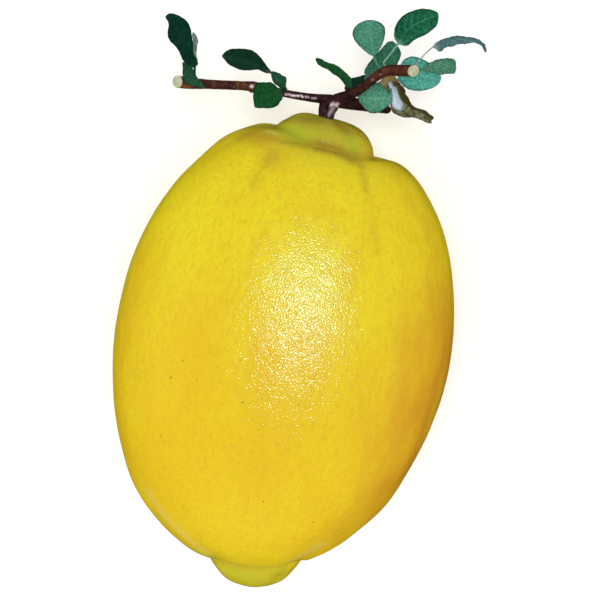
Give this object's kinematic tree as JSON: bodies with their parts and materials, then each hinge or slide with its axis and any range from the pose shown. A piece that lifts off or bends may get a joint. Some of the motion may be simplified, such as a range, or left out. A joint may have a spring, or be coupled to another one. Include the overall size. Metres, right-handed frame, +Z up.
{
  "type": "lemon",
  "caption": "Ripe oval lemon with a blunt nipple, lying on its side as picked, with a short woody forked twig and small oval leaves at its stem end.",
  "frame": {"origin": "middle of the slightly flattened patch of peel that the lemon rests on", "axes": "+Z up, away from the surface it lies on; +Y along the fruit's long axis towards the stem end with the twig; +X to the right when looking down with the stem end away from the viewer"},
  "size_m": [0.0774, 0.14, 0.0766],
  "materials": {
    "peel": "waxy, finely pitted citrus peel",
    "bark": "smooth purple-brown bark with a slight gloss",
    "leaf_green": "satin green leaf, upper side",
    "leaf_deep_green": "satin dark green leaf, upper side",
    "leaf_pale": "matt blue-green leaf, underside showing",
    "leaf_withered": "dry olive-brown leaf, rolled at its edges"
  },
  "bodies": {
    "root": {"lemon": "peel", "twig": "bark", "tall_leaf": "leaf_deep_green", "edge_on_leaf": "leaf_green", "left_end_leaf": "leaf_green", "long_stalked_leaf": "leaf_deep_green", "small_bright_leaf": "leaf_green", "front_leaf": "leaf_green", "narrow_leaf": "leaf_green", "shaded_leaf": "leaf_deep_green", "tall_pale_leaf": "leaf_pale", "top_leaf": "leaf_green", "broad_rear_leaf": "leaf_deep_green", "arching_leaf": "leaf_green", "right_end_leaf": "leaf_green", "round_pale_leaf": "leaf_pale", "veined_pale_leaf": "leaf_pale", "withered_leaf": "leaf_withered"}
  },
  "joints": []
}
